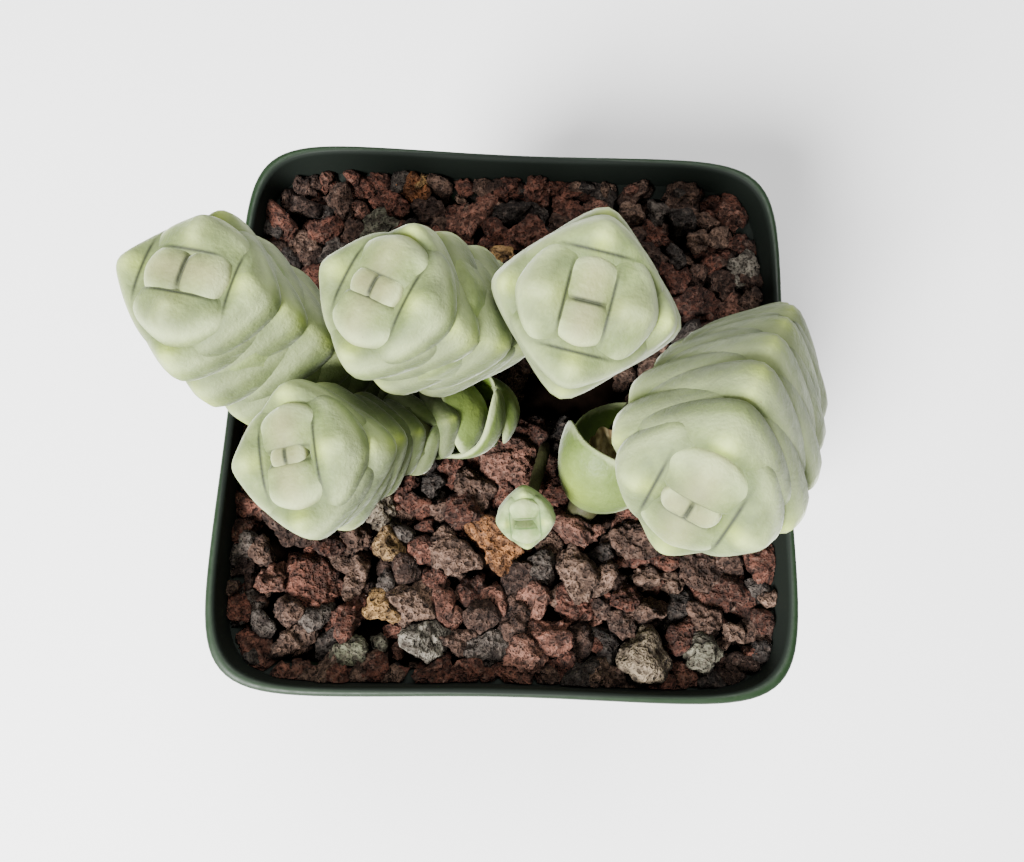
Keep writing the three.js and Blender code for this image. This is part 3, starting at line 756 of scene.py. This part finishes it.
class Skin:
    """One leafy stem's mesh, with the attributes that its finish reads."""

    def __init__(self):
        self.bm = bmesh.new()
        self.skin = self.bm.verts.layers.float_color.new("skin")
        self.marks_and_shade = self.bm.verts.layers.float_color.new("marks_and_shade")
        self.from_crease = self.bm.verts.layers.float_vector.new("from_crease")

    def block(self, cuts):
        """A new cube from -1 to 1, cut into squares; gives its vertices."""
        before = len(self.bm.verts)
        cube = bmesh.ops.create_cube(self.bm, size=2)
        edges = list({e for v in cube["verts"] for e in v.link_edges})
        bmesh.ops.subdivide_edges(self.bm, edges=edges, cuts=cuts, use_grid_fill=True)
        self.bm.verts.ensure_lookup_table()
        return self.bm.verts[before:]

    def paint(self, v, skin, marks_and_shade, from_crease=NO_CREASE):
        v[self.skin] = (*skin, 1)
        v[self.marks_and_shade] = (*marks_and_shade, 1)
        v[self.from_crease] = from_crease

    def add_leaf(self, form, place):
        for v in self.block(YOUNG_LEAF_CUTS if form.age < YOUNG_LEAF_AGE else LEAF_CUTS):
            q = v.co.copy()
            even = Vector([math.tan(c * math.pi / 4) for c in q])
            point, p = form.point(even)
            self.paint(v, *form.traits(point, p))
            v.co = place(point)

    def add_open_leaf(self, leaf, place):
        for v in self.block(LEAF_CUTS):
            point, p = open_leaf_point(v.co.copy(), leaf)
            self.paint(v, *open_leaf_traits(p))
            v.co = place(point)

    def add_tube(self, sides, steps, ring):
        """A closed tube; ring(part) gives its centre, two directions across, radius and share of bark."""
        before = len(self.bm.verts)
        tube = bmesh.ops.create_cone(self.bm, cap_ends=True, segments=sides, radius1=1, radius2=1, depth=2)
        along = [e for e in {e for v in tube["verts"] for e in v.link_edges}
                 if abs(e.verts[0].co.z - e.verts[1].co.z) > 1]
        bmesh.ops.subdivide_edges(self.bm, edges=along, cuts=steps)
        self.bm.verts.ensure_lookup_table()
        for v in self.bm.verts[before:]:
            centre, side, across, radius, bark = ring((1 - v.co.z) / 2)
            self.paint(v, (0, 0, 0), (0, bark, 0))
            v.co = centre + (side * v.co.x + across * v.co.y) * radius


CORE_SIDES = 20
CORE_STEPS = 60
CORE_TIP_SHARE = 0.35
CORE_WIDENING = 8
BARE_FROM = -2
BARE_TO = 5
BARK_FROM = -5
BARK_TO = 0
NODE_RING = 0.16
RING_SPACING = 2.6

STEM_DEFAULTS = {
    "size": 1, "girth": 1, "shrink": (50, 60, 1), "open": (),
    "core_start": 5, "core_radius": 9, "foot_radius": STEM_RADIUS,
}


def open_pair(way, phase, leaf):
    return [{**leaf, "way": way, "phase": phase}, {**leaf, "way": way, "phase": phase + 180}]


# Open leaves. Each curves from one angle to another: -90 points outward, 0 towards the stem's tip
OPEN_LEAF = {"thickness": 1.6, "foot": 0.3, "dip": 0}
CUP_LEAF = {
    **OPEN_LEAF, "length": 21, "width": 16.5, "foot": 0, "cup": 5.2, "dip": 0.17, "from": -80, "to": 22,
}
HOOD_LEAF = {**OPEN_LEAF, "length": 20, "width": 16.5, "foot": 0, "cup": 6.2, "from": -80, "to": 15}
BOWL_LEAF = {**OPEN_LEAF, "length": 14, "width": 14.5, "cup": 5.5, "dip": 0.2, "from": -80, "to": 25}
SHELL_LEAF = {**OPEN_LEAF, "length": 12.5, "width": 12.5, "cup": 5.5, "from": -75, "to": 35}
LOW_LEAF = {**OPEN_LEAF, "length": 11, "width": 11, "cup": 5, "from": -70, "to": 35}
WITHERED_LEAF = {
    **OPEN_LEAF, "length": 9, "width": 7.5, "thickness": 0.7, "foot": 2.5, "cup": 3.4, "from": -22, "to": 18,
}
WITHERED_WAY = 72
WITHERED_PHASE = 75

# Each stem's curve runs from its tip to its foot
STEMS = {
    "leafy_stem_left": {
        "route": [(-39.2, 5.6, 118.5), (-37.8, 4.9, 110), (-33.2, 3.4, 99), (-25, 2.6, 90.5), (-15.5, 2, 81),
                  (-9, 2, STEM_FOOT_HEIGHT)],
        "phase": 78, "stage": 1.05, "pairs": 13, "girth": 1.04, "shrink": (7, 13, 0.7),
    },
    "leafy_stem_rear_left": {
        "route": [(-17.2, 4.3, 119), (-14.6, 4.6, 112), (-8.6, 6.2, 103), (-4, 9.5, 94), (-1.5, 12, 84),
                  (-1, 13, STEM_FOOT_HEIGHT)],
        "phase": 63, "stage": 0.6, "pairs": 12, "girth": 0.98, "shrink": (6, 12, 0.72),
    },
    "leafy_stem_rear_middle": {
        "route": [(7.5, 2.8, 120), (8.3, 6.1, 111), (11, 10.4, 100), (14, 14.9, 89), (15, 18, 78),
                  (15, 19, STEM_FOOT_HEIGHT)],
        "phase": -13.5, "stage": 1, "pairs": 11, "girth": 1.12, "shrink": (6, 11, 0.72),
    },
    "leafy_stem_front_left": {
        "route": [(-27.7, -14.3, 110), (-24.7, -12.9, 102.5), (-17.7, -8.8, 95), (-8.5, -3.2, 87.5),
                  (-1.5, -0.5, 79), (1, 1, STEM_FOOT_HEIGHT)],
        "phase": 98, "stage": 0.4, "pairs": 11, "girth": 1.02, "shrink": (3, 9, 0.54),
        "open": [
            *open_pair(37, 282, SHELL_LEAF),
            *open_pair(39.5, 217, BOWL_LEAF),
            *open_pair(43.5, 287, LOW_LEAF),
        ],
    },
    "leafy_stem_right": {
        "route": [(17.9, -21.3, 122), (25.3, -9.1, 112.7), (32, 0.4, 104.2), (33.9, 4.6, 96), (27, 3, 89.5),
                  (18.7, -2.6, 88), (14.1, -11.6, 81.5), (11.1, -17.1, 75.5), (10, -19, STEM_FOOT_HEIGHT)],
        "phase": 48.3, "stage": 0.55, "pairs": 17, "girth": 1.08, "shrink": (5, 16, 0.64),
        "open": [{**CUP_LEAF, "way": 77.5, "phase": 66}, {**HOOD_LEAF, "way": 76.5, "phase": 262}],
    },
    "young_offset": {
        "route": [(2.3, -19.6, 92), (2.8, -16.7, 87), (4.4, -11.5, 82), (6, -5.5, 77.5),
                  (6.5, -3, STEM_FOOT_HEIGHT)],
        "phase": 4, "stage": 1.7, "pairs": 3, "size": 0.46, "core_start": 1.5, "core_radius": 4,
        "foot_radius": 0.9,
    },
}


def pair_way(stem, age):
    return (pair_depth(age) - pair_depth(stem["stage"])) * stem["size"]


def size_at(stem, way):
    """How much smaller a stem is at its first, lowest leaves."""
    start, end, smallest = stem["shrink"]
    down = smoothstep(way, pair_way(stem, start), pair_way(stem, end))
    return stem["size"] * lerp(1, smallest, down)


def core_ring(stem, line):
    """The rings of a stem's core: wide among the leaves, then a bare stalk with a knuckle at each node."""
    leafy_end = pair_way(stem, stem["stage"] + stem["pairs"] - 1)

    def ring(part):
        way = lerp(stem["core_start"], line.length, part)
        place, up, side = line.frame_at(way)
        bare = smoothstep(way, leafy_end + BARE_FROM, leafy_end + BARE_TO)
        bark = smoothstep(way, leafy_end + BARK_FROM, leafy_end + BARK_TO)
        widened = min(1, CORE_TIP_SHARE + (way - stem["core_start"]) / (CORE_WIDENING * stem["size"]))
        leafy = stem["core_radius"] * widened * size_at(stem, way)
        knuckle = 1 + NODE_RING * math.cos(2 * math.pi * way / RING_SPACING) ** 8
        return place, side, up.cross(side), lerp(leafy, stem["foot_radius"] * knuckle, bare), bark

    return ring


def make_stem(node, material):
    stem = {**STEM_DEFAULTS, **STEMS[node]}
    line = StemLine(stem["route"])
    mesh = Skin()
    mesh.add_tube(CORE_SIDES, CORE_STEPS, core_ring(stem, line))
    for i in range(stem["pairs"]):
        form = LeafForm(stem["stage"] + i, stem["girth"])
        way = pair_way(stem, form.age)
        for turn in (0, 180):
            mesh.add_leaf(form, line.placer(way, stem["phase"] + 90 * i + turn, size_at(stem, way)))
    for leaf in stem["open"]:
        mesh.add_open_leaf(leaf, line.placer(leaf["way"], leaf["phase"], 1))
    made = make_object(node.replace("stem", "column") + "_skin", mesh.bm, material)
    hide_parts(node)
    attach(made, "root")


# The gravel

MIX_TOP = 69
BED_TOP = 74.2
FIT_GAP = 0.35
WALL_GAP = 0.6
BED_ROUGHNESS = 0.5
BED_DIP = 2.6
STONE_SEED = 71
STONE_MIDDLE_HEIGHT = 76.9
STONE_UNEVENNESS = 1.3
FILLER_HEIGHT = 75
FILLER_UNEVENNESS = 0.8

# Least, greatest and commonest radius
STONE_RADII = (1.5, 4.1, 2.3)
FILLER_RADII = (1.2, 2.1, 1.6)
MIDDLE_RADIUS = 2.9
SINK_SHARE = 0.2

STONE_COVER = 0.82
FILLER_COVER = 0.5
STONE_APART = 0.97
FOOT_APART = 0.85
STONE_PUSH = 0.3
FOOT_PUSH = 0.5
GRAVEL_REACH = 43.4
WALL_TOUCH = 0.7
WALL_CLEARANCE = 0.15
SETTLING_STEPS = 160
STONE_PLANES = 9
PLANE_DEPTHS = (0.58, 1.0)
PORE_WIDTHS = (0.08, 0.24)
PORE_DEPTHS = (0.12, 0.26)
STONE_STRETCHES = ((0.95, 1.32), (0.78, 1.02), (0.62, 0.9))
STONE_TILT = 0.5
BED_SIDES = 120
BED_RINGS = 40

# Least radius of a stone, and how finely the ball that it starts from is cut
STONE_LEVELS = ((2.6, 4), (1.7, 3), (0, 2))

# Bare places between the stems: place across and radius
BARE_PLACES = ((15.5, -9.5, 6.3), (6.3, 2.6, 5.4), (13.8, 3.2, 5.2))
DIP_PLACE = (10, 0)
DIP_DEPTH = 2
DIP_REACH = 13
WALL_STONES = 84
WALL_STONE_RADII = (1.4, 2.5)
WALL_STONE_HEIGHT = 77.4

# Unevenness of a stone's surface: slowest and fastest swing, height and number of waves
STONE_WAVES = ((2.5, 5, 0.06, 6), (6, 11, 0.028, 8), (13, 20, 0.014, 8))

STONE_KINDS = {
    "red_lava": {
        "share": 0.44, "pores": 26, "smoothness": 13,
        "tones": [(0.036, 0.013, 0.008), (0.066, 0.024, 0.015), (0.108, 0.041, 0.027), (0.14, 0.064, 0.044)],
    },
    "brown_lava": {
        "share": 0.40, "pores": 24, "smoothness": 12,
        "tones": [(0.026, 0.014, 0.010), (0.050, 0.027, 0.019), (0.082, 0.047, 0.033), (0.14, 0.086, 0.060)],
    },
    "grey_lava": {
        "share": 0.12, "pores": 20, "smoothness": 13,
        "tones": [(0.016, 0.013, 0.011), (0.036, 0.030, 0.026), (0.066, 0.054, 0.045)],
    },
    "pale_stone": {
        "share": 0.04, "pores": 8, "smoothness": 14,
        "tones": [
            (0.08, 0.08, 0.05), (0.14, 0.125, 0.10), (0.16, 0.12, 0.075),
            (0.25, 0.145, 0.055), (0.19, 0.07, 0.026),
        ],
    },
}

# Stones that stand out: place across, radius, kind, tone, length over breadth, turn
STANDING_OUT = (
    (-17.8, 40.4, 2.6, "pale_stone", 1.0, 1.1, 20),
    (-12.2, -36.3, 3.5, "pale_stone", 0.25, 1.5, -25),
    (-19.1, -31.6, 2.5, "pale_stone", 0.75, 1.3, -15),
    (-23.2, -37.8, 2.6, "pale_stone", 0.0, 1.4, -30),
    (2.4, -38.6, 3.2, "red_lava", 1.0, 1.2, 0),
    (21.8, -37.4, 4.2, "pale_stone", 0.45, 1.3, -20),
    (30.8, -37.8, 3.0, "pale_stone", 0.1, 1.2, 30),
    (-1.4, -21.8, 3.7, "pale_stone", 0.95, 1.2, -30),
    (11.4, -19.2, 3.6, "red_lava", 0.95, 1.6, 0),
    (5.6, -25.2, 2.5, "grey_lava", 1.0, 1.5, -60),
    (0.2, -7.6, 3.9, "red_lava", 0.95, 1.2, 10),
    (-5.4, -12.4, 3.2, "brown_lava", 0.6, 1.1, 40),
    (-14.8, -30.6, 3.6, "brown_lava", 0.95, 1.2, 70),
)
STANDING_OUT_HEIGHT = 77.8
STANDING_OUT_ROOM = 0.9
STANDING_OUT_FLATNESS = 0.8


def stem_feet():
    """Where each stem goes into the gravel, with its radius, and the bare places between the stems."""
    feet = list(BARE_PLACES)
    for stem in STEMS.values():
        line = StemLine(stem["route"])
        place = next(p for p in line.places if p.z < STONE_MIDDLE_HEIGHT)
        feet.append((place.x, place.y, stem.get("foot_radius", STEM_RADIUS)))
    return feet


def pushed_apart(places, others, room, push):
    """Moves each place away from the others that are nearer than the room between them."""
    offset = places[:, None] - others[None]
    far = np.hypot(offset[..., 0], offset[..., 1]) + 1e-6
    overlap = np.maximum(0, room - far)
    return places + (offset / far[..., None] * overlap[..., None]).sum(axis=1) * push


def settle(radii, fixed, draw):
    """Places discs at random in the squared pot, then pushes them apart until they lie side by side."""
    radii = np.array(radii)
    places = np.array([[draw.uniform(-1, 1), draw.uniform(-1, 1)] for _ in radii]) * GRAVEL_REACH
    feet = np.array([(x, y) for x, y, _ in fixed])
    foot_radii = np.array([r for _, _, r in fixed])
    stone_room = STONE_APART * (radii[:, None] + radii[None])
    foot_room = FOOT_APART * radii[:, None] + foot_radii[None]
    for _ in range(SETTLING_STEPS):
        places = pushed_apart(places, places, stone_room, STONE_PUSH)
        places = pushed_apart(places, feet, foot_room, FOOT_PUSH)
        for i, (x, y) in enumerate(places):
            limit = square_radius(math.atan2(y, x), GRAVEL_REACH - WALL_TOUCH * radii[i], 0)
            away = math.hypot(x, y)
            if away > limit:
                places[i] *= limit / away
    return places


def random_direction(draw):
    turn, z = draw.uniform(0, 2 * math.pi), draw.uniform(-1, 1)
    flat = math.sqrt(1 - z * z)
    return np.array([flat * math.cos(turn), flat * math.sin(turn), z])


def stone_surface(directions, pores, smoothness, draw):
    """How far a stone reaches each way: a lump cut by a few soft planes, uneven, with pores sunk in."""
    planes = np.array([random_direction(draw) for _ in range(STONE_PLANES)])
    depths = np.array([draw.uniform(*PLANE_DEPTHS) for _ in range(STONE_PLANES)])
    facing = np.maximum(0.01, directions @ planes.T) / depths
    reach = (facing ** smoothness).sum(axis=1) ** (-1 / smoothness)
    reach = np.minimum(reach, 1.3)
    for low, high, swing, count in STONE_WAVES:
        for _ in range(count):
            ripple = directions @ random_direction(draw) * draw.uniform(low, high) + draw.uniform(0, 6.3)
            reach = reach + swing * np.sin(ripple + 0.9 * np.sin(2.3 * ripple))
    for _ in range(pores):
        width = draw.uniform(*PORE_WIDTHS)
        angle = np.arccos(np.clip(directions @ random_direction(draw), -1, 1)) / width
        reach = reach - draw.uniform(*PORE_DEPTHS) * np.exp(-(angle ** 4)) * (0.4 + width)
    return reach


def make_ball(level):
    """A round ball's mesh, with the direction of each of its vertices."""
    bm = bmesh.new()
    bmesh.ops.create_icosphere(bm, subdivisions=max(2, level - LEVEL_DROP), radius=1)
    ball = bpy.data.meshes.new("ball")
    bm.to_mesh(ball)
    bm.free()
    return ball, np.array([v.co.normalized() for v in ball.vertices])


def inside_pot(points):
    """Draws in whatever would stand in the pot's wall."""
    x, y = np.abs(points[:, 0]), np.abs(points[:, 1])
    spread = (x ** CORNER_SQUARENESS + y ** CORNER_SQUARENESS) ** (1 / CORNER_SQUARENESS)
    above_ledge = points[:, 2] > BAND_LEDGE + LEDGE_RISE
    room = np.where(above_ledge, RIM_INNER_HALF_WIDTH, inner_half_width(BAND_BOTTOM))
    bow = SIDE_BOW * ((x * x - y * y) / (x * x + y * y + 1)) ** 2
    share = np.minimum(1, (room - bow - WALL_CLEARANCE) / np.maximum(spread, 1))
    return points * np.column_stack([share, share, np.ones(len(points))])


def stone_points(directions, centre, radius, kind, draw, stretch=None, turn=None):
    """A stone's own points; its stretch and turn are drawn unless they are given."""
    reach = stone_surface(directions, kind["pores"], kind["smoothness"], draw)
    if stretch is None:
        stretch = [draw.uniform(*ends) for ends in STONE_STRETCHES]
        turn = draw.uniform(0, 2 * math.pi)
    tilt = Euler([draw.uniform(-STONE_TILT, STONE_TILT) for _ in range(2)] + [turn])
    stone = directions * reach[:, None] * np.array(stretch) * radius
    return inside_pot(stone @ np.array(tilt.to_matrix()).T + centre)


class Heap:
    """The stones of one kind, gathered into one mesh."""

    def __init__(self):
        self.bm = bmesh.new()
        self.points = []
        self.tones = []

    def add(self, ball, points, tone):
        self.bm.from_mesh(ball)
        self.points.append(points)
        self.tones.append(np.full(len(points), tone))

    def finish(self, name, material):
        piece = make_object(name, self.bm, material)
        piece.data.vertices.foreach_set("co", (np.concatenate(self.points) * MM).ravel())
        tones = piece.data.attributes.new("tone", "FLOAT", "POINT")
        tones.data.foreach_set("value", np.concatenate(self.tones))
        piece.data.update()
        return piece


def draw_radii(spread, cover, draw):
    """Radii of stones that together cover a share of the gravel's square."""
    room = cover * 4 * GRAVEL_REACH ** 2
    radii = []
    while sum(math.pi * r * r for r in radii) < room:
        radii.append(draw.triangular(*spread))
    return radii


def ball_for(radius, balls):
    return next(balls[level] for least, level in STONE_LEVELS if radius >= least)


def near_dip(x, y):
    """1 in the middle of the hollow between the stems, 0 far from it."""
    return math.exp(-((x - DIP_PLACE[0]) ** 2 + (y - DIP_PLACE[1]) ** 2) / DIP_REACH ** 2)


def wall_places(draw):
    """Small stones that fill the edge of the gravel, against the pot's wall."""
    places = []
    for i in range(WALL_STONES):
        angle = 2 * math.pi * (i + draw.uniform(-0.3, 0.3)) / WALL_STONES
        radius = draw.uniform(*WALL_STONE_RADII)
        away = square_radius(angle, GRAVEL_REACH - 0.8 * radius, SIDE_BOW)
        places.append((away * math.cos(angle), away * math.sin(angle), radius, WALL_STONE_HEIGHT))
    return places


def add_settled(heaps, balls, draw):
    """The layer of large stones, then the small ones below and along the wall."""
    feet = stem_feet() + [(x, y, STANDING_OUT_ROOM * radius) for x, y, radius, *_ in STANDING_OUT]
    shares = [kind["share"] for kind in STONE_KINDS.values()]
    layers = (
        (STONE_RADII, STONE_COVER, STONE_MIDDLE_HEIGHT, STONE_UNEVENNESS),
        (FILLER_RADII, FILLER_COVER, FILLER_HEIGHT, FILLER_UNEVENNESS),
    )
    for spread, cover, height, uneven in layers:
        radii = draw_radii(spread, cover, draw)
        places = [(x, y, radius, height) for (x, y), radius in zip(settle(radii, feet, draw), radii)]
        if height == FILLER_HEIGHT:
            places += wall_places(draw)
        for x, y, radius, level_height in places:
            name = draw.choices(list(STONE_KINDS), shares)[0]
            low = SINK_SHARE * (radius - MIDDLE_RADIUS) + DIP_DEPTH * near_dip(x, y)
            centre = np.array([x, y, level_height + draw.uniform(-uneven, uneven) - low])
            ball, directions = ball_for(radius, balls)
            points = stone_points(directions, centre, radius, STONE_KINDS[name], draw)
            heaps[name].add(ball, points, draw.random())


def add_standing_out(heaps, balls, draw):
    for x, y, radius, name, tone, longer, turn in STANDING_OUT:
        centre = np.array([x, y, STANDING_OUT_HEIGHT])
        stretch = (longer ** 0.5, longer ** -0.5, STANDING_OUT_FLATNESS)
        ball, directions = ball_for(radius, balls)
        kind = STONE_KINDS[name]
        points = stone_points(directions, centre, radius, kind, draw, stretch, math.radians(turn))
        heaps[name].add(ball, points, tone)


def make_gravel(finishes):
    draw = random.Random(STONE_SEED)
    heaps = {name: Heap() for name in STONE_KINDS}
    balls = {level: make_ball(level) for _, level in STONE_LEVELS}
    add_settled(heaps, balls, draw)
    add_standing_out(heaps, balls, draw)
    for ball, _ in balls.values():
        bpy.data.meshes.remove(ball)
    for name, heap in heaps.items():
        finish_gravel(heap.finish(name, finishes[name]))


def finish_gravel(piece):
    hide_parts("lava_gravel")
    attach(piece, "root")


def make_gravel_bed(material):
    """Painted shadow for the stones that lie too deep to be told apart: an uneven near-black bed up to the
    wall.
    """
    bottom = MIX_TOP + FIT_GAP
    top_half_width = inner_half_width(BED_TOP) - WALL_GAP
    profile = [
        (0, bottom),
        (inner_half_width(bottom) - WALL_GAP, bottom),
        *[(top_half_width * i / BED_RINGS, BED_TOP) for i in range(BED_RINGS, -1, -1)],
    ]
    bm = squared_lathe(profile, BED_SIDES)
    for v in bm.verts:
        if v.co.z > BED_TOP - 0.1:
            x, y = v.co.x, v.co.y
            v.co.z += BED_ROUGHNESS * (math.sin(1.7 * x + math.sin(y)) * math.cos(1.5 * y) - 0.5)
            v.co.z -= BED_DIP * near_dip(x, y)
    finish_gravel(make_object("gravel_bed", bm, material))


def make_withered_leaf(material):
    """The withered leaf that is caught in the open cup."""
    line = StemLine(STEMS["leafy_stem_right"]["route"])
    place = line.placer(WITHERED_WAY, WITHERED_PHASE, 1)
    mesh = Skin()
    for v in mesh.block(LEAF_CUTS):
        point, _ = open_leaf_point(v.co.copy(), WITHERED_LEAF)
        curl = 0.5 * math.sin(1.9 * point.z + 1.3 * point.y)
        v.co = place((point.x + curl, point.y + 0.3 * math.sin(2.3 * point.z), point.z))
    piece = make_object("withered_leaf", mesh.bm, material)
    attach(piece, "root")


def main():
    make_camera()
    make_light()
    make_floor(pale_floor())
    make_pot(pot_plastic())
    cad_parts["potting_mix"].data.materials.clear()
    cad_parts["potting_mix"].data.materials.append(peat())
    leaf = powdered_leaf("powdered_leaf", POWDER, POWDER_GREY, FRESH_GREEN, CREASE_SHADOW_GREEN)
    young = powdered_leaf("young_leaf", YOUNG_POWDER, YOUNG_GREEN, FRESH_GREEN, YOUNG_CREASE_SHADOW)
    for node in STEMS:
        if node == "young_offset":
            make_stem(node, young)
        else:
            make_stem(node, leaf)
    make_withered_leaf(dry_leaf())
    make_gravel({name: lava(name, kind["tones"]) for name, kind in STONE_KINDS.items()})
    make_gravel_bed(gravel_shadow())


main()
